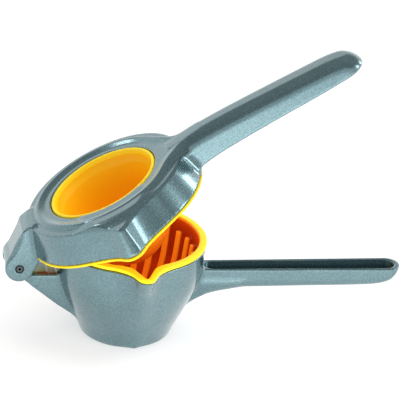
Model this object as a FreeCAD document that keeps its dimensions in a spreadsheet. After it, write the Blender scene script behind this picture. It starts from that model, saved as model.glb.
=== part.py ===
# Hinged lemon squeezer with a strainer cup, a press bowl and two long handles.
# Frame: millimetres, origin at the middle of the cup's base on the table, +X along the
# handles, -Y towards the pouring spout, +Z up.  The lid and what it carries are drawn
# closed, then turned up about the hinge pin by the opening angle of the rest pose.
import FreeCAD, Part
import Sketcher
import math
import os

V = FreeCAD.Vector
doc = FreeCAD.newDocument("lemon_squeezer")

# ---------------------------------------------------------------- driving dimensions
sheet = doc.addObject("Spreadsheet::Sheet", "dims")
SIZES = [
    # cup casting, outside
    ("base_rad", 27.0), ("base_round", 2.2), ("knee_lo_rad", 38.6), ("knee_lo_z", 26.6),
    ("knee_hi_rad", 44.1), ("knee_hi_z", 46.0), ("knee_round", 45.0),
    ("rim_rad", 45.2), ("rim_z", 60.3), ("cup_wall", 2.7), ("cup_floor", 3.0),
    # spout of the cup casting: shoulder, flank and tip of its outline, top and bottom
    ("spout_mid", 2.2), ("spout_foot_z", 31.0),
    ("sp_sh_x", 13.2), ("sp_sh_y", 43.0), ("sp_fl_x", 5.8), ("sp_fl_y", 53.7), ("sp_tip", 59.1),
    ("sf_sh_x", 9.0), ("sf_sh_y", 33.0), ("sf_fl_x", 3.6), ("sf_fl_y", 37.4), ("sf_tip", 39.4),
    ("spout_wall", 2.3), ("plastic_wall", 1.7), ("seat_gap", 0.15),
    # lip of the strainer insert
    ("lip_rad", 45.5), ("lip_in_rad", 41.2), ("lip_top", 62.5),
    ("bowl_hi_rad", 40.5), ("bowl_knee_rad", 37.2), ("bowl_knee_z", 36.5),
    ("bowl_low_rad", 26.0), ("bowl_low_z", 14.0), ("bowl_floor", 4.2), ("bowl_round", 56.0),
    ("rib_count", 21.0), ("rib_first", -60.0), ("rib_sweep", 300.0), ("rib_width", 3.6), ("rib_top", 55.2), ("rib_hi_rad", 36.6),
    ("rib_mid_rad", 34.6), ("rib_mid_z", 36.5), ("rib_low_rad", 22.5), ("rib_low_z", 15.5),
    ("rib_end_rad", 7.5), ("rib_end_z", 8.2),
    # lower handle
    ("low_root_x", 30.0), ("low_end_x", 167.6), ("low_top", 42.1), ("low_bottom", 27.9),
    ("low_half_root", 6.8), ("low_half_end", 7.9), ("low_rise", 2.0), ("low_round", 4.6),
    ("low_nose_x", 154.0), ("low_nose_z", 34.6),
    ("chan_root_x", 48.6), ("chan_end_x", 163.8), ("chan_half_root", 5.2), ("chan_half_end", 6.2),
    ("chan_floor", 34.2),
    ("web_half", 4.4),
    # hinge on the cup side
    ("pin_x", -66.3), ("pin_z", 46.1), ("knuckle_rad", 6.0), ("knuckle_half", 7.0),
    ("bracket_half", 9.0), ("bracket_top", 41.2),
    ("pin_rad", 1.7), ("pin_bore", 0.85), ("pin_half", 12.2), ("bush_rad", 2.4),
    ("run_gap", 0.05),
    # lid casting
    ("skirt_rad", 55.0), ("skirt_z", 48.4), ("tier_rad", 50.6), ("tier_z", 65.9),
    ("tier_in_rad", 44.0), ("tier_in_z", 66.1), ("crown_rad", 40.6), ("crown_z", 67.0),
    ("mouth_rad", 33.5), ("lid_under", 64.0), ("skirt_in_lo", 52.9), ("skirt_in_hi", 48.8),
    ("beak_mid", 2.2),
    ("bb_sh_x", 19.4), ("bb_sh_y", 49.0), ("bb_fl_x", 8.8), ("bb_fl_y", 61.4), ("bb_tip", 67.2),
    ("bt_sh_x", 18.6), ("bt_sh_y", 47.0), ("bt_fl_x", 8.5), ("bt_fl_y", 57.2), ("bt_tip", 63.0),
    ("beak_wall", 1.8), ("liner_wall", 1.0),
    # upper handle
    ("flare_y", 38.0), ("flare_end_x", 62.0), ("flare_round", 95.0), ("up_root_x", 36.0), ("up_end_x", 167.8), ("up_top", 73.3), ("up_half_root", 10.0),
    ("up_half_end", 11.4), ("up_round", 6.5), ("up_wall", 2.4), ("up_roof", 3.0),
    # hinge ears of the lid
    ("ear_half", 12.3), ("ear_in_half", 7.3), ("ear_rad", 8.2), ("slot_rad", 6.9),
    # press insert
    ("ring_rad", 33.35), ("ring_in_rad", 31.4), ("ring_top", 67.3), ("dome_rad", 26.3),
    ("dome_z", 38.0), ("dome_wall", 2.1), ("flange_under", 62.9), ("liner_z", 47.1),
    ("liner_in_lo", 51.7), ("liner_in_hi", 47.6),
    # rest pose
    ("opening", 29.48),
]
for row, (alias, value) in enumerate(SIZES, 1):
    sheet.set("A%d" % row, alias)
    sheet.set("B%d" % row, "%g" % value)
    sheet.setAlias("B%d" % row, alias)
doc.recompute()


class Q:
    """A size with both its number and its spreadsheet expression."""

    def __init__(self, v, e):
        self.v, self.e = float(v), e

    def __add__(self, o):
        o = q(o)
        return Q(self.v + o.v, "(%s + %s)" % (self.e, o.e))

    def __radd__(self, o):
        return q(o) + self

    def __sub__(self, o):
        o = q(o)
        return Q(self.v - o.v, "(%s - %s)" % (self.e, o.e))

    def __rsub__(self, o):
        return q(o) - self

    def __mul__(self, o):
        o = q(o)
        return Q(self.v * o.v, "(%s * %s)" % (self.e, o.e))

    __rmul__ = __mul__

    def __truediv__(self, o):
        o = q(o)
        return Q(self.v / o.v, "(%s / %s)" % (self.e, o.e))

    def __neg__(self):
        return Q(-self.v, "(0 - %s)" % self.e)


def q(x):
    return x if isinstance(x, Q) else Q(x, repr(float(x)))


class D:
    def __getattr__(self, alias):
        return Q(float(sheet.get(alias)), "dims." + alias)


d = D()


def sag_radius(half_chord, rise):
    """Radius of the arc over a chord of given half length and rise."""
    return (half_chord * half_chord + rise * rise) / (rise * 2)


# ---------------------------------------------------------------- sketch helpers
def plane(body, role):
    return [f for f in body.Origin.OriginFeatures if f.Role == role][0]


def new_sketch(body, name, role, lift=None, flip=1):
    sk = body.newObject("Sketcher::SketchObject", name)
    sk.AttachmentSupport = [(plane(body, role), "")]
    sk.MapMode = "FlatFace"
    if lift is not None:
        lift = q(lift) * flip
        sk.AttachmentOffset = FreeCAD.Placement(V(0, 0, lift.v), FreeCAD.Rotation())
        sk.setExpression("AttachmentOffset.Base.z", lift.e)
    return sk


def outline(sk, pts, tag=""):
    """Closed outline.  pts: (x, y) or (x, y, radius, side) where the last two say that the
    edge leaving this corner is an arc, bulging to its left (+1) or right (-1)."""
    n = len(pts)
    P = [(q(p[0]), q(p[1])) for p in pts]
    ends = []
    for i in range(n):
        a, b = P[i], P[(i + 1) % n]
        A, B = V(a[0].v, a[1].v, 0), V(b[0].v, b[1].v, 0)
        if len(pts[i]) > 2:
            r, side = q(pts[i][2]), pts[i][3]
            ch = B.sub(A)
            half = ch.Length / 2.0
            left = V(-ch.y, ch.x, 0).normalize()
            rise = r.v - math.sqrt(max(r.v * r.v - half * half, 0.0))
            mid = A.add(ch * 0.5).add(left * (side * rise))
            g = sk.addGeometry(Part.Arc(A, mid, B), False)
            s = sk.getPoint(g, 1)
            first = 1 if V(s.x, s.y, 0).sub(A).Length < V(s.x, s.y, 0).sub(B).Length else 2
            ends.append((g, first, 3 - first))
            c = sk.addConstraint(Sketcher.Constraint("Radius", g, r.v))
            sk.setExpression("Constraints[%d]" % c, r.e)
        else:
            g = sk.addGeometry(Part.LineSegment(A, B), False)
            ends.append((g, 1, 2))
    for i in range(n):
        g, s, e = ends[i]
        g2, s2, e2 = ends[(i + 1) % n]
        sk.addConstraint(Sketcher.Constraint("Coincident", g, e, g2, s2))
    for i in range(n):
        g, s, e = ends[i]
        for kind, val in (("DistanceX", P[i][0]), ("DistanceY", P[i][1])):
            c = sk.addConstraint(Sketcher.Constraint(kind, -1, 1, g, s, val.v))
            sk.setExpression("Constraints[%d]" % c, val.e)
    return sk


def circle(sk, x, y, r):
    x, y, r = q(x), q(y), q(r)
    g = sk.addGeometry(Part.Circle(V(x.v, y.v, 0), V(0, 0, 1), r.v), False)
    for kind, args, val in (("DistanceX", (-1, 1, g, 3), x), ("DistanceY", (-1, 1, g, 3), y)):
        c = sk.addConstraint(Sketcher.Constraint(kind, *args, val.v))
        sk.setExpression("Constraints[%d]" % c, val.e)
    c = sk.addConstraint(Sketcher.Constraint("Radius", g, r.v))
    sk.setExpression("Constraints[%d]" % c, r.e)
    return sk


def new_body(name):
    b = doc.addObject("PartDesign::Body", name)
    b.Label = name
    doc.recompute()
    return b


def settle(f, what, grows=None, before=None):
    doc.recompute()
    if "Invalid" in f.State or "Error" in f.State or f.Shape.isNull() or not f.Shape.isValid():
        raise RuntimeError("%s failed: %s, null %s" % (what, f.State, f.Shape.isNull()))
    if before is not None:
        v = f.Shape.Volume
        if grows and v <= before + 1e-3:
            raise RuntimeError("%s added nothing" % what)
        if not grows and v >= before - 1e-3:
            raise RuntimeError("%s cut nothing" % what)
    return f


def volume(body):
    return body.Shape.Volume if body.Tip is not None and not body.Shape.isNull() else None


def pad(body, sk, name, length, both=False, back=False):
    was = volume(body)
    f = body.newObject("PartDesign::Pad", name)
    f.Profile = sk
    length = q(length)
    f.Length = length.v
    f.setExpression("Length", length.e)
    if both:
        f.Midplane = True
    f.Reversed = back
    return settle(f, name, True, was)


def pocket(body, sk, name, length, both=False, back=False):
    was = volume(body)
    f = body.newObject("PartDesign::Pocket", name)
    f.Profile = sk
    length = q(length)
    f.Length = length.v
    f.setExpression("Length", length.e)
    if both:
        f.Midplane = True
    f.Reversed = back
    return settle(f, name, False, was)


def turn(body, sk, name, cut=False):
    was = volume(body)
    f = body.newObject("PartDesign::Groove" if cut else "PartDesign::Revolution", name)
    f.Profile = sk
    f.ReferenceAxis = (sk, ["V_Axis"])
    f.Angle = 360.0
    return settle(f, name, not cut, was)


def loft(body, low, high, name, cut=False):
    was = volume(body)
    f = body.newObject("PartDesign::SubtractiveLoft" if cut else "PartDesign::AdditiveLoft", name)
    f.Profile = low
    f.Sections = [high]
    f.Ruled = True
    return settle(f, name, not cut, was)


def fillet(body, name, radius, pick):
    base = body.Tip
    names = ["Edge%d" % (i + 1) for i, e in enumerate(base.Shape.Edges) if pick(e)]
    if not names:
        raise RuntimeError("%s found no edge" % name)
    f = body.newObject("PartDesign::Fillet", name)
    f.Base = (base, names)
    radius = q(radius)
    f.Radius = radius.v
    f.setExpression("Radius", radius.e)
    return settle(f, name)


def beak_outline(sk, mid, back_y, sh, fl, tip, ease=0):
    """Outline of a spout or beak, pointing to -Y: back edge, shoulders, flanks, rounded tip.
    ease moves it all in by that much."""
    shx, shy = q(sh[0]) - q(ease) * 1.25, q(sh[1])
    flx, fly = q(fl[0]) - q(ease) * 1.05, q(fl[1]) - q(ease) * 0.45
    tp = q(tip) - q(ease)
    mid, back = q(mid), q(back_y)
    r = sag_radius(flx, tp - fly)
    return outline(sk, [
        (mid - shx, -back), (mid - shx, -shy), (mid - flx, -fly, r, -1),
        (mid + flx, -fly), (mid + shx, -shy), (mid + shx, -back)])


# ================================================================ cup casting
cup = new_body("cup_casting")

# lower handle: solid bar first, its bottom edge rounded, later opened as a channel
sk = new_sketch(cup, "low_handle_plan", "XY_Plane", d.low_bottom)
outline(sk, [
    (d.low_root_x, -d.low_half_root),
    (d.low_end_x - d.low_half_end, -d.low_half_end, d.low_half_end, -1),
    (d.low_end_x, 0.0, d.low_half_end, -1),
    (d.low_end_x - d.low_half_end, d.low_half_end),
    (d.low_root_x, d.low_half_root)])
pad(cup, sk, "low_handle_bar", d.low_top - d.low_bottom)
sk = new_sketch(cup, "low_handle_side", "XZ_Plane")
outline(sk, [
    (d.low_root_x, d.low_bottom - 1), (d.low_end_x + 2, d.low_bottom - 1),
    (d.low_end_x + 2, d.low_nose_z), (d.low_end_x, d.low_nose_z),
    (d.low_nose_x, d.low_bottom + d.low_rise), (d.low_root_x, d.low_bottom + 0.02)])
pocket(cup, sk, "low_handle_belly", d.low_half_end * 2 + 4, both=True)
fillet(cup, "low_handle_round", d.low_round,
       lambda e: e.BoundBox.ZMax < d.low_nose_z.v + 0.5 and e.BoundBox.XLength > 1.0
       and e.BoundBox.XMax < d.low_nose_x.v + 0.5 and abs(e.CenterOfMass.y) > 3.0)

# web under the handle's root
sk = new_sketch(cup, "root_web_side", "XZ_Plane")
outline(sk, [
    (24.0, 12.0), (33.0, 13.6), (38.5, 17.6), (47.0, 23.2), (58.0, 27.2), (66.0, 28.6), (66.0, 31.0),
    (24.0, 31.0)])
pad(cup, sk, "root_web", d.web_half * 2, both=True)

# hinge bracket and its knuckle
sk = new_sketch(cup, "bracket_side", "XZ_Plane")
outline(sk, [
    (-57.0, 31.4), (-53.3, 28.6), (-43.5, 20.6), (-30.4, 11.4), (-24.0, 11.4), (-24.0, d.bracket_top),
    (-57.0, d.bracket_top)])
pad(cup, sk, "bracket", d.bracket_half * 2, both=True)
sk = new_sketch(cup, "knuckle_neck_side", "XZ_Plane")
outline(sk, [
    (d.pin_x - 4.4, d.pin_z - 4.1), (-63.7, 36.7), (-56.0, 30.6), (-50.0, 30.6),
    (-50.0, d.bracket_top), (-58.6, d.bracket_top), (d.pin_x + 4.0, d.pin_z + 4.4)])
pad(cup, sk, "knuckle_neck", d.knuckle_half * 2, both=True)
sk = new_sketch(cup, "knuckle_circle", "XZ_Plane")
circle(sk, d.pin_x, d.pin_z, d.knuckle_rad)
pad(cup, sk, "knuckle", d.knuckle_half * 2, both=True)

# outside of the cup
sk = new_sketch(cup, "cup_outside", "XZ_Plane")
outline(sk, [
    (0.0, 0.0), (d.base_rad - d.base_round, 0.0, d.base_round * 1.35, -1),
    (d.base_rad + 0.9, d.base_round), (d.knee_lo_rad, d.knee_lo_z, d.knee_round, -1),
    (d.knee_hi_rad, d.knee_hi_z), (d.rim_rad, d.rim_z), (0.0, d.rim_z)])
turn(cup, sk, "cup_body")

# spout bulge
low = new_sketch(cup, "spout_low", "XY_Plane", d.spout_foot_z)
beak_outline(low, d.spout_mid, 20.0, (d.sf_sh_x, d.sf_sh_y), (d.sf_fl_x, d.sf_fl_y), d.sf_tip)
high = new_sketch(cup, "spout_high", "XY_Plane", d.rim_z)
beak_outline(high, d.spout_mid, 20.0, (d.sp_sh_x, d.sp_sh_y), (d.sp_fl_x, d.sp_fl_y), d.sp_tip)
loft(cup, low, high, "spout")

# inside of the cup
sk = new_sketch(cup, "cup_inside", "XZ_Plane")
outline(sk, [
    (0.0, d.cup_floor), (d.base_rad - d.cup_wall - 1.5, d.cup_floor),
    (d.base_rad - d.cup_wall + 1.4, d.cup_floor + 2.5),
    (d.knee_lo_rad - d.cup_wall, d.knee_lo_z, d.knee_round - d.cup_wall, -1),
    (d.knee_hi_rad - d.cup_wall, d.knee_hi_z),
    (d.rim_rad - d.cup_wall, d.rim_z + 1), (0.0, d.rim_z + 1)])
turn(cup, sk, "cup_hollow", cut=True)
low = new_sketch(cup, "spout_hollow_low", "XY_Plane", d.spout_foot_z)
beak_outline(low, d.spout_mid, 20.0, (d.sf_sh_x, d.sf_sh_y), (d.sf_fl_x, d.sf_fl_y), d.sf_tip,
             d.spout_wall)
high = new_sketch(cup, "spout_hollow_high", "XY_Plane", d.rim_z + 0.01)
beak_outline(high, d.spout_mid, 20.0, (d.sp_sh_x, d.sp_sh_y), (d.sp_fl_x, d.sp_fl_y), d.sp_tip,
             d.spout_wall)
loft(cup, low, high, "spout_hollow", cut=True)

# channel of the lower handle
sk = new_sketch(cup, "channel_plan", "XY_Plane", d.low_top + 0.01)
outline(sk, [
    (d.chan_root_x + d.chan_half_root, -d.chan_half_root),
    (d.chan_end_x - d.chan_half_end, -d.chan_half_end, d.chan_half_end, -1),
    (d.chan_end_x, 0.0, d.chan_half_end, -1),
    (d.chan_end_x - d.chan_half_end, d.chan_half_end),
    (d.chan_root_x + d.chan_half_root, d.chan_half_root, d.chan_half_root, -1),
    (d.chan_root_x, 0.0, d.chan_half_root, -1)])
pocket(cup, sk, "channel", d.low_top - d.chan_floor)

# pin hole through the knuckle, a press fit for the pin
sk = new_sketch(cup, "knuckle_hole", "XZ_Plane")
circle(sk, d.pin_x, d.pin_z, d.pin_rad)
pocket(cup, sk, "pin_hole", d.knuckle_half * 4, both=True)

# ================================================================ strainer insert
strainer = new_body("strainer_insert")
wall = d.plastic_wall
# outside of the bowl with its lip, all solid first
sk = new_sketch(strainer, "bowl_outside", "XZ_Plane")
outline(sk, [
    (0.0, d.bowl_floor),
    (d.bowl_low_rad - 8, d.bowl_floor + 2.4), (d.bowl_low_rad, d.bowl_low_z, d.bowl_round, -1),
    (d.bowl_knee_rad + 1.7, d.bowl_knee_z),
    (d.bowl_hi_rad + 1.75, d.rim_z), (d.lip_rad, d.rim_z), (d.lip_rad, d.lip_top),
    (0.0, d.lip_top)])
turn(strainer, sk, "bowl")
# spout of the insert: lip plate and the channel's wall
sk = new_sketch(strainer, "spout_lip_plan", "XY_Plane", d.rim_z)
beak_outline(sk, d.spout_mid, 30.0, (d.sp_sh_x + 0.1, d.sp_sh_y + 0.2),
             (d.sp_fl_x + 0.1, d.sp_fl_y + 0.1), d.sp_tip + 0.2)
pad(strainer, sk, "spout_lip", d.lip_top - d.rim_z)
low = new_sketch(strainer, "spout_wall_low", "XY_Plane", d.spout_foot_z)
beak_outline(low, d.spout_mid, 20.0, (d.sf_sh_x, d.sf_sh_y), (d.sf_fl_x, d.sf_fl_y), d.sf_tip,
             d.spout_wall + d.seat_gap)
high = new_sketch(strainer, "spout_wall_high", "XY_Plane", d.rim_z + 0.4)
beak_outline(high, d.spout_mid, 20.0, (d.sp_sh_x, d.sp_sh_y), (d.sp_fl_x, d.sp_fl_y), d.sp_tip,
             d.spout_wall + d.seat_gap)
loft(strainer, low, high, "spout_wall_solid")
# inside of the bowl, and the pouring channel
sk = new_sketch(strainer, "bowl_inside", "XZ_Plane")
outline(sk, [
    (0.0, d.lip_top + 1), (d.lip_in_rad, d.lip_top + 1), (d.lip_in_rad, d.lip_top - 0.8),
    (d.bowl_hi_rad, d.rim_z - 1.0), (d.bowl_knee_rad, d.bowl_knee_z,
     d.bowl_round - wall, 1),
    (d.bowl_low_rad - 0.9, d.bowl_low_z + 1.6), (d.bowl_low_rad - 8.6, d.bowl_floor + 4.2),
    (0.0, d.bowl_floor + wall)])
turn(strainer, sk, "bowl_hollow", cut=True)
low = new_sketch(strainer, "spout_channel_low", "XY_Plane", d.spout_foot_z + 2)
beak_outline(low, d.spout_mid, 20.0, (d.sf_sh_x + 1.0, d.sf_sh_y), (d.sf_fl_x + 1.0, d.sf_fl_y - 1.2),
             d.sf_tip + 0.8, d.spout_wall + d.plastic_wall)
high = new_sketch(strainer, "spout_channel_high", "XY_Plane", d.lip_top + 0.5)
beak_outline(high, d.spout_mid, 20.0, (d.sp_sh_x + 1.8, d.sp_sh_y - 3.4),
             (d.sp_fl_x + 1.3, d.sp_fl_y - 0.6), d.sp_tip + 0.4, d.spout_wall + d.plastic_wall)
loft(strainer, low, high, "spout_channel", cut=True)
# ribs that stand off the wall and run down towards the middle; none below the spout
sk = new_sketch(strainer, "rib_side", "XZ_Plane")
sk.AttachmentOffset = FreeCAD.Placement(V(0, 0, 0), FreeCAD.Rotation(V(0, 1, 0), d.rib_first.v))
outline(sk, [
    (d.rib_end_rad, d.bowl_floor + 1.0), (d.bowl_low_rad - 8.2, d.bowl_floor + 3.4),
    (d.bowl_low_rad - 0.5, d.bowl_low_z + 0.8), (d.bowl_knee_rad + 0.7, d.bowl_knee_z),
    (d.bowl_hi_rad + 0.6, d.rib_top), (d.rib_hi_rad, d.rib_top),
    (d.rib_mid_rad, d.rib_mid_z), (d.rib_low_rad, d.rib_low_z), (d.rib_end_rad, d.rib_end_z)])
rib = pad(strainer, sk, "rib", d.rib_width, both=True)
ribs = strainer.newObject("PartDesign::PolarPattern", "ribs")
ribs.Originals = [rib]
ribs.Axis = ([f for f in strainer.Origin.OriginFeatures if f.Role == "Z_Axis"][0], [""])
ribs.Angle = d.rib_sweep.v
ribs.setExpression("Angle", "dims.rib_sweep")
ribs.Occurrences = int(d.rib_count.v)
ribs.setExpression("Occurrences", "dims.rib_count")
strainer.Tip = ribs
settle(ribs, "ribs")

# ================================================================ lid casting (drawn closed)
lid = new_body("lid_casting")
# upper handle: plan outline, belly cut away below, shoulders rounded
sk = new_sketch(lid, "up_handle_plan", "XY_Plane", d.lid_under - 13)
outline(sk, [
    (d.up_root_x, -d.up_half_root),
    (d.up_end_x - d.up_half_end, -d.up_half_end, d.up_half_end, -1),
    (d.up_end_x, 0.0, d.up_half_end, -1),
    (d.up_end_x - d.up_half_end, d.up_half_end),
    (d.up_root_x, d.up_half_root)])
pad(lid, sk, "up_handle_bar", d.up_top - d.lid_under + 13)
sk = new_sketch(lid, "up_handle_belly", "XZ_Plane")
outline(sk, [
    (d.up_root_x - 1, 40.0), (d.up_end_x + 3, 40.0), (d.up_end_x + 3, 63.6),
    (d.up_end_x, 63.2), (160.0, 61.5), (136.0, 59.0), (109.0, 57.2), (77.0, 54.8), (60.0, 52.6),
    (d.up_root_x - 1, 51.2)])
pocket(lid, sk, "up_handle_under", d.up_half_end * 2 + 4, both=True)
fillet(lid, "up_handle_round", d.up_round,
       lambda e: e.BoundBox.ZMin > d.up_top.v - 0.01 and e.BoundBox.XMax > d.up_root_x.v + 1.0)
sk = new_sketch(lid, "up_handle_crest", "XZ_Plane")
outline(sk, [
    (d.up_root_x - 1, 90.0), (d.up_root_x - 1, d.crown_z - 0.4), (44.0, d.crown_z + 1.6),
    (60.0, d.up_top - 1.3), (84.0, d.up_top + 0.2), (84.0, 90.0)])
pocket(lid, sk, "up_handle_crown", d.up_half_end * 2 + 4, both=True)
# hinge ears
sk = new_sketch(lid, "ear_side", "XZ_Plane")
ex, ez, er = d.pin_x, d.pin_z, d.ear_rad
outline(sk, [
    (ex - er * 0.94, ez - er * 0.342, er, -1),
    (ex + er * 0.766, ez - er * 0.643), (-56.6, 46.0), (-55.3, 48.4), (-44.0, 48.4),
    (-40.0, 62.0), (-42.0, d.crown_z - 0.6), (-51.6, d.crown_z - 0.6), (-55.0, d.crown_z - 2.2),
    (ex - 5.4, 51.6), (ex - er * 0.99, ez + 1.6)])
pad(lid, sk, "ears", d.ear_half * 2, both=True)
# crown plate that flares into the handle's root
sk = new_sketch(lid, "crown_flare_plan", "XY_Plane", d.lid_under - 1)
outline(sk, [
    (14.0, d.flare_y, d.flare_round, 1), (d.flare_end_x, d.up_half_root - 0.4),
    (d.flare_end_x, 0.4 - d.up_half_root, d.flare_round, 1), (14.0, -d.flare_y)])
pad(lid, sk, "crown_flare", d.crown_z - d.lid_under + 1)
# cap: skirt, tier and crown
sk = new_sketch(lid, "cap_outside", "XZ_Plane")
outline(sk, [
    (0.0, d.skirt_z), (d.skirt_rad, d.skirt_z), (d.tier_rad + 0.5, d.tier_z - 1.6, 1.9, -1),
    (d.tier_rad - 1.2, d.tier_z), (d.tier_in_rad, d.tier_in_z, 6.0, 1),
    (d.crown_rad, d.crown_z), (0.0, d.crown_z)])
turn(lid, sk, "cap")
low = new_sketch(lid, "beak_low", "XY_Plane", d.skirt_z)
beak_outline(low, d.beak_mid, 20.0, (d.bb_sh_x, d.bb_sh_y), (d.bb_fl_x, d.bb_fl_y), d.bb_tip)
high = new_sketch(lid, "beak_high", "XY_Plane", d.tier_z)
beak_outline(high, d.beak_mid, 20.0, (d.bt_sh_x, d.bt_sh_y), (d.bt_fl_x, d.bt_fl_y), d.bt_tip)
loft(lid, low, high, "beak")
# hollow of the cap, hollow of the beak, mouth for the press bowl
sk = new_sketch(lid, "cap_inside", "XZ_Plane")
outline(sk, [
    (0.0, d.skirt_z - 1), (d.skirt_in_lo + 0.25, d.skirt_z - 1), (d.skirt_in_hi, d.lid_under),
    (0.0, d.lid_under)])
turn(lid, sk, "cap_hollow", cut=True)
low = new_sketch(lid, "beak_hollow_low", "XY_Plane", d.skirt_z - 0.01)
beak_outline(low, d.beak_mid, 20.0, (d.bb_sh_x, d.bb_sh_y), (d.bb_fl_x, d.bb_fl_y), d.bb_tip,
             d.beak_wall)
high = new_sketch(lid, "beak_hollow_high", "XY_Plane", d.lid_under)
beak_outline(high, d.beak_mid, 20.0, (d.bt_sh_x, d.bt_sh_y), (d.bt_fl_x, d.bt_fl_y), d.bt_tip + 0.5,
             d.beak_wall)
loft(lid, low, high, "beak_hollow", cut=True)
sk = new_sketch(lid, "mouth_circle", "XY_Plane", d.lid_under - 1)
circle(sk, 0.0, 0.0, d.mouth_rad)
pocket(lid, sk, "mouth", 12.0, back=True)
# hollow underside of the upper handle
sk = new_sketch(lid, "up_hollow_plan", "XY_Plane", 40.0)
outline(sk, [
    (57.0, d.up_wall - d.up_half_root),
    (d.up_end_x - d.up_half_end, d.up_wall - d.up_half_end, d.up_half_end - d.up_wall, -1),
    (d.up_end_x - d.up_wall, 0.0, d.up_half_end - d.up_wall, -1),
    (d.up_end_x - d.up_half_end, d.up_half_end - d.up_wall),
    (57.0, d.up_half_root - d.up_wall)])
pocket(lid, sk, "up_hollow", d.lid_under + 3.6 - 40, back=True)
# slot for the knuckle, and the bush bores
sk = new_sketch(lid, "slot_side", "XZ_Plane")
outline(sk, [
    (ex - 12, 30.0), (-52.4, 30.0), (-52.4, 55.0), (ex + 2.0, 55.0), (ex - 2.0, 52.9), (ex - 4.0, 51.4),
    (ex - 12, 49.6)])
pocket(lid, sk, "slot", d.ear_in_half * 2, both=True)
sk = new_sketch(lid, "ear_hole", "XZ_Plane")
circle(sk, d.pin_x, d.pin_z, d.bush_rad)
pocket(lid, sk, "bush_bores", d.ear_half * 4, both=True)

# ================================================================ press insert (drawn closed)
press = new_body("press_insert")
sk = new_sketch(press, "dome_profile", "XZ_Plane")
R = d.dome_rad
outline(sk, [
    (0.0, d.dome_z - R + 0.043), (1.5, d.dome_z - R + 0.043, R, -1), (R * 0.9848, d.dome_z - R * 0.1736),
    (d.ring_in_rad - 0.5, d.flange_under - 2.5), (d.ring_in_rad + 1.2, d.flange_under),
    (d.liner_in_hi, d.flange_under), (d.liner_in_lo, d.liner_z), (d.liner_in_lo + 1.1, d.liner_z),
    (d.skirt_in_hi - 0.1, d.lid_under), (d.ring_rad, d.lid_under), (d.ring_rad, d.ring_top - 0.5),
    (d.ring_rad - 0.5, d.ring_top), (d.ring_in_rad + 0.5, d.ring_top), (d.ring_in_rad, d.ring_top - 0.6),
    (d.ring_in_rad - 0.6 - d.dome_wall * 0.6, d.flange_under - 3.0),
    ((R - d.dome_wall) * 0.9848, d.dome_z - (R - d.dome_wall) * 0.1736, R - d.dome_wall, 1),
    (1.5, d.dome_z - R + d.dome_wall + 0.047), (0.0, d.dome_z - R + d.dome_wall + 0.047)])
turn(press, sk, "dome_and_liner")
# beak of the liner
low = new_sketch(press, "beak_liner_low", "XY_Plane", d.liner_z)
beak_outline(low, d.beak_mid, 44.0, (d.bb_sh_x, d.bb_sh_y), (d.bb_fl_x, d.bb_fl_y), d.bb_tip + 0.3,
             d.beak_wall + 0.1)
high = new_sketch(press, "beak_liner_high", "XY_Plane", d.lid_under)
beak_outline(high, d.beak_mid, 44.0, (d.bt_sh_x, d.bt_sh_y), (d.bt_fl_x, d.bt_fl_y), d.bt_tip + 0.5,
             d.beak_wall + 0.1)
loft(press, low, high, "beak_liner")
low = new_sketch(press, "beak_room_low", "XY_Plane", d.liner_z - 0.01)
beak_outline(low, d.beak_mid, 36.0, (d.bb_sh_x, d.bb_sh_y), (d.bb_fl_x, d.bb_fl_y), d.bb_tip + 0.3,
             d.beak_wall + 0.1 + d.liner_wall)
high = new_sketch(press, "beak_room_high", "XY_Plane", d.flange_under)
beak_outline(high, d.beak_mid, 36.0, (d.bt_sh_x, d.bt_sh_y), (d.bt_fl_x, d.bt_fl_y), d.bt_tip + 0.5,
             d.beak_wall + 0.1 + d.liner_wall)
loft(press, low, high, "beak_room", cut=True)

# ================================================================ hinge hardware
pin = new_body("hinge_pin")
sk = new_sketch(pin, "pin_section", "XZ_Plane")
circle(sk, d.pin_x, d.pin_z, d.pin_rad)
circle(sk, d.pin_x, d.pin_z, d.pin_bore)
pad(pin, sk, "tube", d.pin_half * 2, both=True)

for name, side in (("near_bush", 1), ("far_bush", -1)):
    bush = new_body(name)
    sk = new_sketch(bush, name + "_section", "XZ_Plane", d.ear_in_half, side)
    circle(sk, d.pin_x, d.pin_z, d.bush_rad)
    circle(sk, d.pin_x, d.pin_z, d.pin_rad + d.run_gap)
    pad(bush, sk, name + "_tube", d.ear_half - d.ear_in_half, back=(side < 0))

# ---------------------------------------------------------------- rest pose
base_place = FreeCAD.Placement()
open_place = FreeCAD.Placement(V(0, 0, 0), FreeCAD.Rotation(V(0, -1, 0), d.opening.v),
                               V(d.pin_x.v, 0, d.pin_z.v))
PARTS = [("cup_casting", base_place), ("strainer_insert", base_place), ("hinge_pin", base_place),
         ("lid_casting", open_place), ("press_insert", open_place),
         ("near_bush", open_place), ("far_bush", open_place)]
for name, place in PARTS:
    doc.getObject(name).Placement = place
doc.recompute()

# ---------------------------------------------------------------- check, then write
for o in doc.Objects:
    if "Invalid" in o.State or "Error" in o.State:
        raise RuntimeError("%s is in state %s" % (o.Name, o.State))
for name, place in PARTS:
    s = doc.getObject(name).Shape
    if s.isNull() or not s.isValid() or len(s.Solids) != 1:
        raise RuntimeError("%s is not one valid solid (%d)" % (name, len(s.Solids)))
os.makedirs("parts", exist_ok=True)
for name, place in PARTS:
    s = doc.getObject(name).Shape
    s.exportStep("parts/%s.step" % name)
    b = s.BoundBox
    print("%-16s %8.2f cm3  x %.1f..%.1f  y %.1f..%.1f  z %.1f..%.1f" % (
        name, s.Volume / 1000.0, b.XMin, b.XMax, b.YMin, b.YMax, b.ZMin, b.ZMax))
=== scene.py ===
# Looks of the hinged lemon squeezer.  Metres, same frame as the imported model.
import bpy
import bmesh
import math
import numpy as np
import openvdb as vdb
from mathutils import Matrix, Vector


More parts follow.
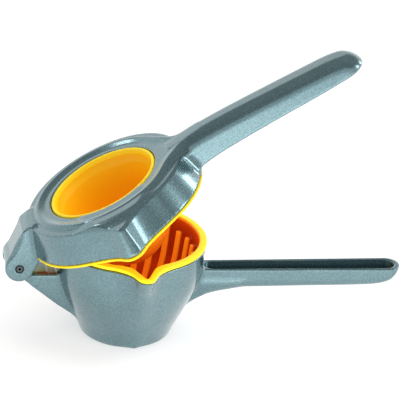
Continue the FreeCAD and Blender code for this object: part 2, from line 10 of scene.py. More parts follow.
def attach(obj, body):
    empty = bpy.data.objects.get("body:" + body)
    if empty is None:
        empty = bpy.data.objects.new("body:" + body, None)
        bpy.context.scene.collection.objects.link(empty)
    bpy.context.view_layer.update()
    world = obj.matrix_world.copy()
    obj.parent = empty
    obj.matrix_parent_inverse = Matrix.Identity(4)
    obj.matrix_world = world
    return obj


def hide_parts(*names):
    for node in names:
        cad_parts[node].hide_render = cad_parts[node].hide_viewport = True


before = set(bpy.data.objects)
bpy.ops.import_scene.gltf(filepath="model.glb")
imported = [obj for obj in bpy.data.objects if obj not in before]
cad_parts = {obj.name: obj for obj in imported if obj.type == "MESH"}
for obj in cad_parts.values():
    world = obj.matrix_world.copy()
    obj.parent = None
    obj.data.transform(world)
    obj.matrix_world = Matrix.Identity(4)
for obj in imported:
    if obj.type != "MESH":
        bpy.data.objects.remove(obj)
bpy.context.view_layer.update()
scene = bpy.context.scene
MM = 0.001

# ------------------------------------------------------------------ hinge geometry, mm
PIN = np.array([-66.3, 0.0, 46.1])
OPEN = math.radians(29.48)


def opened(P):
    """Closed lid coordinates (mm) to the rest pose."""
    q = P - PIN
    c, s = math.cos(OPEN), math.sin(OPEN)
    return np.stack([q[:, 0] * c - q[:, 2] * s, q[:, 1], q[:, 0] * s + q[:, 2] * c], 1) + PIN


def same(P):
    return P


# ------------------------------------------------------------------ distance-field tools
def curve(xs, ys):
    """Smooth monotone-ish curve through points (cubic Hermite, finite-difference slopes)."""
    xs, ys = np.array(xs, float), np.array(ys, float)
    dy = np.diff(ys) / np.diff(xs)
    m = np.empty_like(xs)
    m[0], m[-1] = dy[0], dy[-1]
    for i in range(1, len(xs) - 1):
        if dy[i - 1] * dy[i] <= 0:
            m[i] = 0.0
        else:
            w1, w2 = 2 * (xs[i + 1] - xs[i]) + xs[i] - xs[i - 1], xs[i + 1] - xs[i] + 2 * (xs[i] - xs[i - 1])
            m[i] = (w1 + w2) / (w1 / dy[i - 1] + w2 / dy[i])

    def at(t):
        t = np.asarray(t, float)
        k = np.clip(np.searchsorted(xs, t) - 1, 0, len(xs) - 2)
        hh = xs[k + 1] - xs[k]
        u = np.clip((t - xs[k]) / hh, 0, 1)
        u2, u3 = u * u, u * u * u
        y = (2 * u3 - 3 * u2 + 1) * ys[k] + (u3 - 2 * u2 + u) * hh * m[k] + (3 * u2 - 2 * u3) * ys[k + 1] + (u3 - u2) * hh * m[k + 1]
        y = np.where(t < xs[0], ys[0] + (t - xs[0]) * m[0], y)
        return np.where(t > xs[-1], ys[-1] + (t - xs[-1]) * m[-1], y)
    return at


def rmax(a, b, r):
    """Intersection with a round edge of radius r."""
    u, v = np.maximum(a + r, 0), np.maximum(b + r, 0)
    return np.minimum(np.maximum(a + r, b + r), 0) + np.hypot(u, v) - r


def rmin(a, b, r):
    """Union with a round fillet of radius r."""
    return -rmax(-a, -b, r)


def cutout(a, b, r=0.5):
    """a without b, the new edge rounded."""
    return rmax(a, -b, r)


def capsule(px, py, ax, ay, ra, bx, by, rb):
    """Plan distance to the hull of two circles."""
    dx, dy = bx - ax, by - ay
    L = np.hypot(dx, dy)
    ux, uy = dx / L, dy / L
    qx = np.abs((px - ax) * -uy + (py - ay) * ux)
    qy = (px - ax) * ux + (py - ay) * uy
    b = (ra - rb) / L
    a = np.sqrt(np.maximum(1 - b * b, 1e-6))
    k = -b * qx + a * qy
    return np.where(k < 0, np.hypot(qx, qy) - ra, np.where(k > a * L, np.hypot(qx, qy - L) - rb, qx * a + qy * b - ra))


def polygon(px, py, pts):
    """Signed distance to a closed polygon."""
    P = np.array(pts, float)
    d = np.full(px.shape, 1e9)
    s = np.ones(px.shape)
    n = len(P)
    for i in range(n):
        a, b = P[i], P[i - 1]
        ex, ey = b[0] - a[0], b[1] - a[1]
        wx, wy = px - a[0], py - a[1]
        t = np.clip((wx * ex + wy * ey) / (ex * ex + ey * ey), 0, 1)
        d = np.minimum(d, (wx - ex * t) ** 2 + (wy - ey * t) ** 2)
        c1, c2, c3 = py >= a[1], py < b[1], ex * wy > ey * wx
        flip = (c1 & c2 & c3) | (~c1 & ~c2 & ~c3)
        s = np.where(flip, -s, s)
    return s * np.sqrt(d)


def slab(v, lo, hi):
    return np.abs(v - (lo + hi) / 2) - (hi - lo) / 2


def field_mesh(name, f, lo, hi, step, place, body, creases=None):
    """Meshes the zero surface of f (mm), moves the points onto it, and places it (m)."""
    B = 8
    lo, hi = np.array(lo, float), np.array(hi, float)
    nb = np.ceil((hi - lo) / step / B).astype(int) + 1
    reach = B * step * 0.9 * 1.9
    cen = [lo[i] + (np.arange(nb[i]) + 0.5) * B * step - step * 0.5 for i in range(3)]
    C = np.stack(np.meshgrid(*cen, indexing="ij"), -1).reshape(-1, 3)
    fc = f(C[:, 0], C[:, 1], C[:, 2])
    data = np.repeat(np.where(fc > 0, reach, -reach).astype(np.float32)[:, None], B ** 3, 1)
    act = np.where(np.abs(fc) < reach)[0]
    off = np.stack(np.meshgrid(*[(np.arange(B) - (B - 1) / 2) * step] * 3, indexing="ij"), -1).reshape(-1, 3)
    for k in range(0, len(act), 400):
        idx = act[k:k + 400]
        Q = (C[idx][:, None, :] + off[None]).reshape(-1, 3)
        data[idx] = f(Q[:, 0], Q[:, 1], Q[:, 2]).reshape(len(idx), -1).astype(np.float32)
    vol = data.reshape(nb[0], nb[1], nb[2], B, B, B).transpose(0, 3, 1, 4, 2, 5).reshape(nb * B)
    grid = vdb.FloatGrid(float(reach))
    grid.copyFromArray(np.ascontiguousarray(vol))
    pts, tris, quads = grid.convertToPolygons(0.0, 0.0)
    P = np.asarray(pts, float) * step + (C[0] + off[0])
    e = 0.03
    for it in range(3):
        v = f(P[:, 0], P[:, 1], P[:, 2])
        g = np.stack([(f(P[:, 0] + (e if i == 0 else 0), P[:, 1] + (e if i == 1 else 0), P[:, 2] + (e if i == 2 else 0))
                       - f(P[:, 0] - (e if i == 0 else 0), P[:, 1] - (e if i == 1 else 0), P[:, 2] - (e if i == 2 else 0))) / (2 * e)
                      for i in range(3)], 1)
        g2 = np.maximum((g * g).sum(1), 0.05)
        mv = g * (v / g2)[:, None]
        ln = np.linalg.norm(mv, axis=1)
        P = P - mv * np.minimum(1, 0.3 * step / np.maximum(ln, 1e-9))[:, None]
    quads, tris = np.asarray(quads, np.int64).reshape(-1, 4), np.asarray(tris, np.int64).reshape(-1, 3)
    # keep the winding outward
    q = quads[:: max(1, len(quads) // 4000)]
    fn = np.cross(P[q[:, 2]] - P[q[:, 0]], P[q[:, 3]] - P[q[:, 1]])
    if np.einsum("ij,ij->i", fn, g[q[:, 0]]).sum() < 0:
        quads, tris = quads[:, ::-1], tris[:, ::-1]
    W = place(P) * MM
    me = bpy.data.meshes.new(name)
    faces = [tuple(x) for x in quads.tolist()] + [tuple(x) for x in tris.tolist()]
    me.from_pydata(W.tolist(), [], faces)
    me.polygons.foreach_set("use_smooth", np.ones(len(me.polygons), bool))
    me.validate()
    me.update()
    o = bpy.data.objects.new(name, me)
    scene.collection.objects.link(o)
    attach(o, body)
    print("%s: %d points" % (name, len(P)))
    return o


# ------------------------------------------------------------------ cup casting
RIM, LIP = 60.3, 62.5
MID = 2.2
cup_r = curve([-4, 0, 9, 20, 31, 37, 46, 60.3, 80], [25.3, 26.9, 30.6, 35.7, 40.4, 42.4, 44.1, 45.2, 46.8])


def wedge(x, y, z, inset):
    """Spout: hull of a wide circle inside the wall and a small tip circle, narrowing downwards."""
    t = np.clip((RIM - z) / 29.3, -0.12, 2.2)
    tip = 59.3 - 19.9 * t
    rho = 5.3 - 1.7 * t
    cy = tip - rho
    rb = rho + 0.40 * (cy - 27.0)
    return (capsule(x - MID, y, 0 * z, -27.0 + 0 * z, rb, 0 * z, -cy, rho) + inset) * 0.83


def cup_side(x, y, z, inset=0.0):
    r = np.hypot(x, y)
    e = 0.05
    slope = (cup_r(z + e) - cup_r(z - e)) / (2 * e)
    w = (r - cup_r(z) + inset) / np.sqrt(1 + slope * slope)
    s = wedge(x, y, z, inset)
    return rmin(w, s, 7.0)


low_top, low_bot = 42.1, curve([30, 60, 110, 146, 154, 160, 164.5, 168], [27.8, 28.2, 29.0, 29.6, 30.3, 32.0, 34.6, 38.5])
WEB = [(20, 8), (31, 12.2), (35.6, 15.6), (41, 19.6), (48, 23.4), (55, 26.2), (61, 28.2), (67, 31.0), (70, 34.5), (20, 34.5)]
BRACKET = [(-59.0, 33.2), (-43.5, 20.6), (-30.4, 11.4), (-20, 5), (-20, 41.0), (-59.0, 41.0)]
NECK = [(-71.0, 41.6), (-63.9, 36.6), (-54.0, 29.3), (-50, 30), (-50, 40.8), (-58.0, 40.8), (-62.0, 50.4)]


def cup_casting(x, y, z):
    body = rmax(cup_side(x, y, z), -z, 2.4)
    # lower handle
    plan = capsule(x, y, 36.0, 0, 6.5, 159.7, 0, 7.9)
    bar = rmax(plan, low_bot(x) - z, 5.4)
    bar = rmax(bar, z - low_top, 0.8)
    web = rmax(polygon(x, z, WEB), np.abs(y) - 5.0, 3.6)
    arm = rmin(bar, web, 5.0)
    d = rmin(body, arm, 3.5)
    # hinge bracket
    br = rmax(polygon(x, z, BRACKET), np.abs(y) - 9.0, 1.6)
    nk = rmax(polygon(x, z, NECK), np.abs(y) - 7.0, 0.9)
    kn = rmax(np.hypot(x + 66.3, z - 46.1) - 6.0, np.abs(y) - 7.0, 0.8)
    nk = rmin(nk, kn, 1.5)
    br = rmin(br, nk, 1.2)
    d = rmin(d, br, 2.2)
    d = rmax(d, z - (RIM - 0.75), 0.7)
    # hollows
    hollow = rmax(cup_side(x, y, z, 2.75), 3.0 - z, 3.0)
    d = cutout(d, hollow, 0.3)
    ch = rmax(capsule(x, y, 51.2, 0, 5.2, 157.6, 0, 6.3), 33.4 - z, 3.0)
    d = cutout(d, ch, 0.7)
    return cutout(d, np.hypot(x + 66.3, z - 46.1) - 1.72, 0.15)


# ------------------------------------------------------------------ lid casting (closed)
CAP = [(0, 40.0), (56.36, 40.0), (48.65, 64.85), (0, 64.85)]          # drawn 1.2 in, then rounded out
CAP_IN = [(0, 40.0), (55.5, 40.0), (48.9, 64.0), (0, 64.0)]
up_belly = curve([30, 48, 58, 66, 77, 109, 136, 160, 170], [50.2, 50.4, 52.2, 53.7, 55.0, 57.4, 59.1, 61.3, 63.2])
up_crest = curve([-60, 26, 35, 44, 51, 58, 66, 75, 90, 120, 144, 152, 158, 163, 169], [67.0, 67.0, 67.5, 68.8, 70.1, 71.2, 72.0, 72.5, 72.9, 73.2, 73.3, 72.9, 71.9, 70.3, 67.6])
bead = curve([0, 0.12, 0.35, 0.56, 0.68, 0.80, 1.0], [0.0, 0.22, 0.95, 1.4, 1.4, 1.1, 0.0])
FOOT = 65.75
EAR = [(-58.8, 41.4), (-53.0, 45.2), (-50.0, 48.3), (-40, 48.3), (-38, 64.0), (-46, 66.8), (-50.8, 66.9), (-54.0, 66.0), (-71.3, 52.4), (-73.6, 47.5)]


def beak(x, y, z, inset):
    t = np.clip((z - 48.4) / 17.5, -0.1, 1.1)
    tip = 67.3 - 4.2 * t
    rho = 7.0 - 3.6 * t
    cy = tip - rho
    rb = rho + 0.62 * (cy - 34.0)
    return (capsule(x - 2.1, y, 0 * z, -34.0 + 0 * z, rb, 0 * z, -cy, rho) + inset) * 0.96


def crown(x, y, z):
    """Round plateau with a raised bead, drawn out into the flat top of the handle."""
    r = np.hypot(x, y)
    da = rmin(r - 37.4, np.maximum(np.abs(y) - 4.4, 18 - x), 15.0)
    db = rmin(r - 45.4, np.maximum(np.abs(y) - 9.6, 18 - x), 14.0)
    t = np.clip(da / np.maximum(da - db, 0.5), 0, 1)
    f = np.clip((58 - x) / 20.0, 0, 1)
    f = f * f * (3 - 2 * f)
    w = np.clip((t - 0.62) / 0.38, 0, 1)
    fall = (up_crest(x) - FOOT) * w * w * (3 - 2 * w)
    top = up_crest(x) + f * (bead(t) - fall) - (1 - f) * 7.0 * t * t
    d = rmax(db, (z - top) * 0.85, 0.35)
    return np.maximum(np.maximum(d, x - 66.0), 62.5 - z)


def lid_shell(x, y, z):
    r = np.hypot(x, y)
    cap = polygon(r, z, CAP) - 1.2
    bk = rmax(beak(x, y, z, 0.0), z - 65.75, 1.2)
    bk = np.maximum(bk, 46.9 - z)
    return rmax(rmin(cap, bk, 7.5), 48.42 - z, 0.3)


def lid_casting(x, y, z):
    d = lid_shell(x, y, z)
    # upper handle
    draft = np.clip((z - 57.0) / 15.0, -0.5, 1.0) * 0.6
    plan = (capsule(x, y, 30.0, 0, 10.0, 156.4, 0, 11.4) + draft) * 0.998
    bar = rmax(plan, z - up_crest(x), 7.2)
    bar = rmax(bar, (up_belly(x) - z) * 0.99, 0.9)
    bar = np.maximum(bar, 43.0 - x)
    d = rmin(d, bar, 5.0)
    # ears, their rear edges rounder than the knuckle
    taper = np.clip((z - 48.0) / 19.0, 0, 1)
    wide = 12.3 - 0.8 * taper
    ears = rmin(polygon(x, z, EAR), np.hypot(x + 66.3, z - 46.1) - 8.3, 1.5)
    ears = rmax(ears, (np.abs(y) - wide) * 0.99, 0.9 + 2.6 * np.clip((z - 49.0) / 8.0, 0, 1) * np.clip((-54.0 - x) / 4.0, 0, 1))
    d = rmin(d, ears, 3.0)
    d = rmin(d, crown(x, y, z), 0.25)
    # hollows
    r = np.hypot(x, y)
    hollow = rmax(rmin(polygon(r, z, CAP_IN), np.maximum(beak(x, y, z, 1.45), z - 64.0), 5.6), z - 64.0, 1.0)
    d = cutout(d, hollow, 0.3)
    under = rmax(capsule(x, y, 64.0, 0, 7.6, 156.4, 0, 8.9), z - (up_crest(x) - 3.4), 5.0)
    d = cutout(d, under, 0.7)
    d = cutout(d, r - 34.0, 0.35)
    slot = rmax(np.minimum(np.hypot(x + 66.3, z - 46.1) - 6.9, polygon(x, z, SLOT)), np.abs(y) - 7.3, 0.3)
    d = cutout(d, slot, 0.35)
    return cutout(d, np.hypot(x + 66.3, z - 46.1) - 2.42, 0.2)


SLOT = [(-90, 20), (-52.4, 20), (-52.4, 52), (-54.5, 55), (-63.5, 55), (-67, 53.4), (-69.6, 51.6), (-90, 49.8)]

# ------------------------------------------------------------------ strainer insert
bowl_out = curve([0, 4.2, 6.4, 9, 14, 20, 26, 36.5, 60.3, 80], [-20, 0.0, 15.0, 20.5, 26.2, 31.2, 34.9, 38.9, 42.2, 45.0])
BOWL = [(0, 4.2), (14, 5.2), (18.4, 6.8), (22.6, 9.8), (26.2, 13.8), (30.6, 19.8), (34.2, 26.0), (37.2, 32.0), (38.8, 37.2),
        (40.2, 45.0), (42.2, 60.3), (42.2, 80), (0, 80)]
BOWL_IN = [(0, 5.9), (13.6, 6.9), (17.4, 8.4), (21.3, 11.2), (24.7, 15.0), (29.0, 20.8), (32.5, 26.9), (35.4, 32.6), (37.1, 37.7),
           (38.5, 45.2), (40.4, 59.3), (41.2, 62.2), (41.4, 80), (0, 80)]
rib_in = curve([0, 8.2, 12, 15.5, 22, 29, 36.5, 46, 55.2], [2.0, 9.0, 17.6, 22.5, 27.6, 31.8, 34.4, 35.7, 36.6])


def strainer(x, y, z):
    r = np.hypot(x, y)
    lip_plan = rmin(r - 45.5, wedge(x, y, RIM + 0 * z, -0.15) / 0.83, 7.0)
    lip = rmax(lip_plan, slab(z, RIM + 0.02, LIP), 0.55)
    out = rmin(polygon(r, z, BOWL), wedge(x, y, z, 2.95), 5.0)
    out = np.maximum(out, z - (RIM + 1.0))
    inn = rmin(polygon(r, z, BOWL_IN), wedge(x, y, z, 4.35), 4.0)
    d = rmin(out, lip, 0.3)
    d = cutout(d, inn, 0.55)
    # ribs
    a = np.arctan2(y, x)
    k = np.round(a / (math.pi / 12))
    near = (k == -6) | (k == -5) | (k == -7)
    k = np.where(k == -6, np.where(a < -math.pi / 2, -8, -4), k)
    k = np.where(k == -5, -4, k)
    k = np.where(k == -7, -8, k)
    side = np.abs(r * np.sin(a - k * math.pi / 12))
    along = r * np.cos(a - k * math.pi / 12)
    rib = rmax(side - 1.8, (rib_in(z) - along) * 0.85, 0.7)
    rib = rmax(rib, z - 55.2, 0.7)
    rib = np.maximum(rib, polygon(r, z, BOWL) + 0.5)
    rib = np.maximum(rib, 8.0 - r)
    return rmin(d, rib, 0.8)


# ------------------------------------------------------------------ press insert (closed)
dome_out = []
R0, Z0 = 26.3, 38.0
for i in range(0, 17):
    t = math.radians(-90 + 80 * i / 16)
    dome_out.append((R0 * math.cos(t), Z0 + R0 * math.sin(t)))
dome_in = []
for i in range(0, 17):
    t = math.radians(-10 - 80 * i / 16)
    dome_in.append((24.2 * math.cos(t), Z0 + 24.2 * math.sin(t)))
PRESS = dome_out + [(30.9, 60.4), (31.6, 62.0), (33.2, 62.9), (47.7, 62.9), (51.75, 47.1), (54.9, 47.1), (54.9, 48.1), (52.45, 48.1), (48.7, 63.95), (33.35, 63.95),
                    (33.35, 66.9), (32.9, 67.3), (31.9, 67.3), (31.4, 66.8), (30.2, 62.6), (28.8, 59.6)] + dome_in


def press(x, y, z):
    r = np.hypot(x, y)
    d = polygon(r, z, PRESS)
    d = np.maximum(d, -np.maximum(np.maximum(beak(x, y, z, 2.38), 46.8 - r), z - 62.9))      # open behind the beak
    t = beak(x, y, z, 1.55)
    bo = np.maximum(rmin(r - 52.75 + (z - 47.1) * 0.245, t, 5.6), slab(z, 47.1, 63.95))
    bi = np.maximum(rmin(r - 51.75 + (z - 47.1) * 0.256, beak(x, y, z, 2.38), 5.6), z - 62.9)
    liner = np.maximum(bo, -bi)
    liner = np.maximum(liner, 34.0 - r)
    edge = rmax(rmin(r - 55.25, beak(x, y, z, -0.2), 7.5), slab(z, 46.75, 48.15), 0.45)
    edge = np.maximum(edge, -rmin(r - 51.75, beak(x, y, z, 2.38), 5.6))
    return np.minimum(np.minimum(d, liner), edge) - 0.02


# ------------------------------------------------------------------ materials
def tree(name):
    m = bpy.data.materials.new(name)
    m.use_nodes = True
    nt = m.node_tree
    return m, nt, nt.nodes["Principled BSDF"]


def ramp_of(N, stops, mode="LINEAR"):
    r = N("ShaderNodeValToRGB")
    r.color_ramp.interpolation = mode
    els = r.color_ramp.elements
    while len(els) < len(stops):
        els.new(0.5)
    for el, (pos, col) in zip(els, stops):
        el.position = pos
        el.color = tuple(col) + (1,) if len(col) == 3 else col
    return r


def metal_paint():
    """Grey-green enamel full of fine aluminium flake, under a clear coat."""
    m, nt, b = tree("metallic_enamel")
    N, L = nt.nodes.new, nt.links.new
    co = N("ShaderNodeTexCoord")
    flake = N("ShaderNodeTexVoronoi"); flake.inputs["Scale"].default_value = 2600
    L(co.outputs["Object"], flake.inputs["Vector"])
    sep = N("ShaderNodeSeparateColor"); L(flake.outputs["Color"], sep.inputs["Color"])
    ramp = ramp_of(N, [(0.0, (0.115, 0.203, 0.222)), (0.55, (0.140, 0.240, 0.262)), (1.0, (0.205, 0.316, 0.343))])
    L(sep.outputs["Red"], ramp.inputs["Fac"])
    cloud = N("ShaderNodeTexNoise"); cloud.inputs["Scale"].default_value = 60; cloud.inputs["Detail"].default_value = 3
    L(co.outputs["Object"], cloud.inputs["Vector"])
    mix = N("ShaderNodeMixRGB"); mix.blend_type = "MULTIPLY"
    c2 = ramp_of(N, [(0.3, (0.95, 0.96, 0.965)), (0.7, (1.03, 1.03, 1.03))])
    L(cloud.outputs["Fac"], c2.inputs["Fac"])
    mix.inputs[0].default_value = 1.0
    L(ramp.outputs["Color"], mix.inputs[1]); L(c2.outputs["Color"], mix.inputs[2])
    L(mix.outputs["Color"], b.inputs["Base Color"])
    b.inputs["Metallic"].default_value = 0.85
    rr = N("ShaderNodeMapRange")
    rr.inputs["To Min"].default_value = 0.20; rr.inputs["To Max"].default_value = 0.29
    L(sep.outputs["Green"], rr.inputs["Value"]); L(rr.outputs["Result"], b.inputs["Roughness"])
    b.inputs["Coat Weight"].default_value = 0.6
    b.inputs["Coat Roughness"].default_value = 0.07
    b.inputs["Coat IOR"].default_value = 1.5
    bump = N("ShaderNodeBump"); bump.inputs["Strength"].default_value = 0.018; bump.inputs["Distance"].default_value = 0.0001
    L(sep.outputs["Blue"], bump.inputs["Height"])
    L(bump.outputs["Normal"], b.inputs["Normal"])
    return m


def plastic(name, stops, painted_glow):
    """Glossy moulded plastic; the stored painted-shade value runs from the plastic's own yellow on the lit rims to
    painted orange and red shade in the deep insides, and the same colour is emitted as a painted glow.
    """
    m, nt, b = tree(name)
    N, L = nt.nodes.new, nt.links.new
    co = N("ShaderNodeTexCoord")
    n1 = N("ShaderNodeTexNoise"); n1.inputs["Scale"].default_value = 70; n1.inputs["Detail"].default_value = 4
    L(co.outputs["Object"], n1.inputs["Vector"])
    # painted shade: a stored value per point picks the ramp colour, orange and red where shade falls inside
    at = N("ShaderNodeAttribute"); at.attribute_type = "GEOMETRY"; at.attribute_name = "painted_shade"
    sway = N("ShaderNodeMath"); sway.operation = "MULTIPLY_ADD"; sway.inputs[1].default_value = 0.03
    L(n1.outputs["Fac"], sway.inputs[0]); L(at.outputs["Fac"], sway.inputs[2])
    ramp = ramp_of(N, stops)
    L(sway.outputs["Value"], ramp.inputs["Fac"])
    tint = N("ShaderNodeMixRGB"); tint.blend_type = "MULTIPLY"; tint.inputs[0].default_value = 1.0
    cl = ramp_of(N, [(0.3, (0.965, 0.955, 0.95)), (0.7, (1.0, 1.0, 1.0))])
    L(n1.outputs["Fac"], cl.inputs["Fac"])
    L(ramp.outputs["Color"], tint.inputs[1]); L(cl.outputs["Color"], tint.inputs[2])
    L(tint.outputs["Color"], b.inputs["Base Color"])
    # painted glow: the shaded colour is also emitted, though the plastic is no lamp
    L(tint.outputs["Color"], b.inputs["Emission Color"])
    b.inputs["Emission Strength"].default_value = painted_glow
    n2 = N("ShaderNodeTexNoise"); n2.inputs["Scale"].default_value = 900; n2.inputs["Detail"].default_value = 2
    L(co.outputs["Object"], n2.inputs["Vector"])
    rr = N("ShaderNodeMapRange"); rr.inputs["To Min"].default_value = 0.34; rr.inputs["To Max"].default_value = 0.46
    L(n2.outputs["Fac"], rr.inputs["Value"]); L(rr.outputs["Result"], b.inputs["Roughness"])
    bump = N("ShaderNodeBump"); bump.inputs["Strength"].default_value = 0.10; bump.inputs["Distance"].default_value = 0.00015
    L(n2.outputs["Fac"], bump.inputs["Height"]); L(bump.outputs["Normal"], b.inputs["Normal"])
    b.inputs["Specular IOR Level"].default_value = 0.25
    return m


def steel():
    m, nt, b = tree("pin_steel")
    N, L = nt.nodes.new, nt.links.new
    co = N("ShaderNodeTexCoord")
    mp = N("ShaderNodeMapping"); mp.inputs["Scale"].default_value = (900, 60, 900)
    n = N("ShaderNodeTexNoise"); n.inputs["Scale"].default_value = 1.0; n.inputs["Detail"].default_value = 3
    L(co.outputs["Object"], mp.inputs["Vector"]); L(mp.outputs["Vector"], n.inputs["Vector"])
    rr = N("ShaderNodeMapRange"); rr.inputs["To Min"].default_value = 0.22; rr.inputs["To Max"].default_value = 0.42
    L(n.outputs["Fac"], rr.inputs["Value"]); L(rr.outputs["Result"], b.inputs["Roughness"])
    ramp = N("ShaderNodeValToRGB")
    ramp.color_ramp.elements[0].color = (0.07, 0.09, 0.095, 1); ramp.color_ramp.elements[1].color = (0.14, 0.17, 0.175, 1)
    L(n.outputs["Fac"], ramp.inputs["Fac"]); L(ramp.outputs["Color"], b.inputs["Base Color"])
    b.inputs["Metallic"].default_value = 1.0
    return m


def nylon():
    m, nt, b = tree("black_nylon")
    N, L = nt.nodes.new, nt.links.new
    co = N("ShaderNodeTexCoord")
    n = N("ShaderNodeTexNoise"); n.inputs["Scale"].default_value = 1200
    L(co.outputs["Object"], n.inputs["Vector"])
    ramp = N("ShaderNodeValToRGB")
    ramp.color_ramp.elements[0].color = (0.010, 0.011, 0.012, 1); ramp.color_ramp.elements[1].color = (0.028, 0.03, 0.032, 1)
    L(n.outputs["Fac"], ramp.inputs["Fac"]); L(ramp.outputs["Color"], b.inputs["Base Color"])
    b.inputs["Roughness"].default_value = 0.6
    b.inputs["Specular IOR Level"].default_value = 0.2
    bump = N("ShaderNodeBump"); bump.inputs["Strength"].default_value = 0.1; bump.inputs["Distance"].default_value = 0.0001
    L(n.outputs["Fac"], bump.inputs["Height"]); L(bump.outputs["Normal"], b.inputs["Normal"])
    return m


paint = metal_paint()
YELLOW = (1.0, 0.74, 0.012)
# Ramps from the plastics' own yellow to painted shade: orange, then red-brown, deeper inside and between the ribs; the
# strainer gets the stronger painted glow.
shaded_yellow_strainer = plastic("strainer_yellow_painted_shade", [(0.0, YELLOW), (0.04, YELLOW), (0.12, (0.98, 0.50, 0.010)), (0.24, (0.98, 0.35, 0.012)), (0.42, (0.92, 0.25, 0.009)),
                                   (0.7, (0.44, 0.042, 0.002)), (1.0, (0.24, 0.012, 0.001))], 0.32)
golden = plastic("press_golden", [(0.0, YELLOW), (0.05, YELLOW), (0.2, (0.93, 0.66, 0.010)), (0.32, (0.92, 0.56, 0.006)), (0.5, (0.93, 0.45, 0.003)), (0.56, (0.93, 0.42, 0.003)),
                                  (0.64, (0.93, 0.36, 0.008)), (0.8, (0.82, 0.18, 0.005)), (1.0, (0.50, 0.05, 0.002))], 0.10)
pin_steel, bush_black = steel(), nylon()


def dress(o, mat):
    o.data.materials.clear()
    o.data.materials.append(mat)


# ------------------------------------------------------------------ pieces
def store_painted_shade(o, painted_shade, P):
    at = o.data.attributes.new("painted_shade", "FLOAT", "POINT")
    at.data.foreach_set("value", painted_shade.astype(np.float32))


def points_mm(o):
    P = np.empty(len(o.data.vertices) * 3)
    o.data.vertices.foreach_get("co", P)
    return P.reshape(-1, 3) / MM


def soft(v, a, b):
    t = np.clip((v - a) / (b - a), 0, 1)
    return t * t * (3 - 2 * t)


def paint_strainer_shade(o):
    """Painted shade: 0 on the lip, about 0.3 on the ribs' faces, 1 on the wall between them where the shade falls, and
    darker towards the bottom.
    """
    P = points_mm(o)
    x, y, z = P[:, 0], P[:, 1], P[:, 2]
    r = np.hypot(x, y)
    inn = rmin(polygon(r, z, BOWL_IN), wedge(x, y, z, 4.35), 4.0)
    lip = soft(inn, 0.15, 0.75) * soft(z, 60.9, 61.5)
    outer = soft(inn, 0.9, 1.4)
    # painted shade in the gaps between the ribs, weaker near the top
    g = np.clip((r - rib_in(np.minimum(z, 55.2)) - 0.4) / 2.2, 0, 1) * (1 - 0.35 * soft(z, 54.0, 61.0))
    # painted shade, deeper low in the bowl
    low_shade = 1 - soft(z, 8.0, 50.0)
    painted_shade = 0.26 + 0.14 * low_shade + 0.60 * g
    # the painted shade eases off towards the rim
    painted_shade = np.where(z > 60.0, painted_shade + (0.16 - painted_shade) * soft(z, 60.6, 62.2), painted_shade)
    painted_shade = painted_shade * (1 - np.maximum(lip, outer))
    store_painted_shade(o, np.clip(painted_shade, 0, 1), P)


def paint_press_shade(o):
    """Painted shade: 0 on the edge under the skirt, rising through the ring and the dish to the hidden underside; the
    dish is painted orange and the underside painted red.
    """
    P = points_mm(o)
    q = P - PIN
    c, n = math.cos(OPEN), math.sin(OPEN)
    x, y, z = q[:, 0] * c + q[:, 2] * n + PIN[0], P[:, 1], -q[:, 0] * n + q[:, 2] * c + PIN[2]
    r = np.hypot(x, y)
    dish = polygon(r, z, dome_in[::-1] + [(28.8, 59.6), (30.2, 62.6), (31.4, 66.8), (31.4, 80), (0, 80)])
    # painted shade: redder on the underside, low down and towards the middle
    painted_shade = 0.66 + 0.30 * soft(z, 48.5, 58.0) * soft(r, 34.0, 44.0) + 0.12 * soft(r, 31.0, 20.0)
    # painted shade: the dish orange as from light bounced inside it, more so towards the bottom
    painted_shade = np.where(dish < 0.8, 0.52 - 0.14 * soft(z, 40.0, 64.5), painted_shade)
    painted_shade = np.where((z > 64.6) & (r < 34.5), 0.10, painted_shade)
    rim = np.minimum(52.3 - r, beak(x, y, z, 2.0))
    painted_shade = np.where((r > 46.0) & ((z < 48.4) & (rim < 0.0) | (z < 47.25)), 0.0, painted_shade)
    store_painted_shade(o, np.clip(painted_shade, 0, 1), P)


STEP = 0.8
cup = field_mesh("cup_body_looks", cup_casting, (-76, -64, -3), (172, 50, 64), STEP, same, "base")
lid = field_mesh("lid_body_looks", lid_casting, (-79, -72, 33), (172, 60, 78), STEP, opened, "lid")
net = field_mesh("strainer_looks", strainer, (-48, -64, 2), (48, 48, 65), STEP * 0.75, same, "base")
bowl = field_mesh("press_bowl_looks", press, (-56, -70, 9), (56, 56, 70), STEP * 0.8, opened, "lid")
# painted shade values for the two plastic inserts
paint_strainer_shade(net)
paint_press_shade(bowl)
for o, node, slot, mat in ((cup, "cup_casting", "cup_metal", paint), (lid, "lid_casting", "lid_metal", paint),
                           (net, "strainer_insert", "strainer_plastic", shaded_yellow_strainer), (bowl, "press_insert", "press_plastic", golden)):
    dress(o, mat)
    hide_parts(node)
dress(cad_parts["hinge_pin"], pin_steel)
dress(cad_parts["near_bush"], bush_black)
dress(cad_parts["far_bush"], bush_black)

# ------------------------------------------------------------------ stage, light, camera
fm = bpy.data.meshes.new("floor")
S = 6.0
fm.from_pydata([(-S, -S, 0), (S, -S, 0), (S, S, 0), (-S, S, 0)], [], [(0, 1, 2, 3)])
floor = bpy.data.objects.new("floor", fm)
scene.collection.objects.link(floor)
m, nt, b = tree("floor_white")
b.inputs["Base Color"].default_value = (0.5, 0.5, 0.5, 1)
b.inputs["Roughness"].default_value = 0.9
b.inputs["Specular IOR Level"].default_value = 0.0
b.inputs["Emission Color"].default_value = (1, 1, 1, 1)
b.inputs["Emission Strength"].default_value = 0.56
fm.materials.append(m)

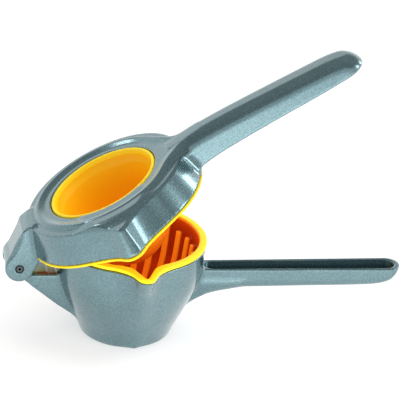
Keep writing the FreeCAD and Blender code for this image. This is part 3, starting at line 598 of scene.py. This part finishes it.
world = bpy.data.worlds.new("studio")
scene.world = world
world.use_nodes = True
wt = world.node_tree
bg = wt.nodes["Background"]
wc = wt.nodes.new("ShaderNodeTexCoord")
wsep = wt.nodes.new("ShaderNodeSeparateXYZ")
wt.links.new(wc.outputs["Generated"], wsep.inputs["Vector"])
rise = ramp_of(wt.nodes.new, [(0.0, (0.74, 0.74, 0.74)), (0.29, (0.72, 0.72, 0.72)), (0.42, (0.28, 0.28, 0.28)),
                              (0.55, (0.23, 0.23, 0.23)), (1.0, (0.28, 0.28, 0.28))], "EASE")
tilt = wt.nodes.new("ShaderNodeMath")
tilt.operation = "MULTIPLY_ADD"
tilt.inputs[1].default_value = -0.11
wt.links.new(wsep.outputs["Y"], tilt.inputs[0])
wt.links.new(wsep.outputs["Z"], tilt.inputs[2])
wt.links.new(tilt.outputs["Value"], rise.inputs["Fac"])
half = wt.nodes.new("ShaderNodeMapRange")
half.inputs["From Min"].default_value, half.inputs["From Max"].default_value = -1.0, 1.0
wt.links.new(wsep.outputs["Y"], half.inputs["Value"])
turn = ramp_of(wt.nodes.new, [(0.0, (0.86, 0.86, 0.86)), (0.5, (0.95, 0.95, 0.95)), (1.0, (1.0, 1.0, 1.0))], "EASE")
wt.links.new(half.outputs["Result"], turn.inputs["Fac"])
both = wt.nodes.new("ShaderNodeMixRGB")
both.blend_type = "MULTIPLY"
both.inputs[0].default_value = 1.0
wt.links.new(rise.outputs["Color"], both.inputs[1])
wt.links.new(turn.outputs["Color"], both.inputs[2])
wt.links.new(both.outputs["Color"], bg.inputs["Color"])
bg.inputs["Strength"].default_value = 1.5


def area(name, way, dist, size, power):
    """Soft box on the given side of the object, facing it."""
    l = bpy.data.lights.new(name, "AREA")
    l.shape = "RECTANGLE"
    l.size, l.size_y = size
    l.energy = power
    o = bpy.data.objects.new(name, l)
    scene.collection.objects.link(o)
    at = Vector((0.03, 0, 0.07))
    w = Vector(way).normalized()
    o.location = at + w * dist
    o.rotation_mode = "QUATERNION"
    o.rotation_quaternion = (-w).to_track_quat("-Z", "Y")
    return o


area("ceiling", (0.30, 0.20, 0.95), 2.5, (3.0, 3.0), 62).visible_glossy = False
area("back_left", (-0.66, 0.49, 0.56), 1.1, (0.16, 0.16), 0.6).visible_diffuse = False
area("right_front", (0.90, -0.24, 0.36), 1.0, (0.22, 0.28), 1.3).visible_diffuse = False
area("right_back", (0.86, 0.35, 0.37), 1.0, (0.18, 0.24), 0.9).visible_diffuse = False
pool = bpy.data.lights.new("front_pool", "AREA")
pool.shape, pool.size, pool.size_y, pool.energy = "RECTANGLE", 0.55, 0.22, 2.3
po = bpy.data.objects.new("front_pool", pool)
scene.collection.objects.link(po)
po.location = (0.14, -0.31, 0.12)
po.visible_glossy = False
po.visible_camera = False

a, e, roll = math.radians(-11.479), math.radians(24.964), math.radians(4.835)
back = Vector((math.sin(a) * math.cos(e), -math.cos(a) * math.cos(e), math.sin(e)))
right = Vector((math.cos(a), math.sin(a), 0))
up = back.cross(right)
X = right * math.cos(roll) + up * math.sin(roll)
Y = -right * math.sin(roll) + up * math.cos(roll)
T = Vector((0.04008, 0, 0.08513))
cam = bpy.data.objects.new("camera", bpy.data.cameras.new("camera"))
scene.collection.objects.link(cam)
cam.data.sensor_width = 36.0
cam.data.lens = 36.0 * 1.688 * 1200 / 400
cam.data.clip_start, cam.data.clip_end = 0.05, 30
Mx = Matrix((X, Y, back)).transposed().to_4x4()
Mx.translation = T + back * 1.2
cam.matrix_world = Mx
scene.camera = cam
scene.view_settings.view_transform = "Standard"
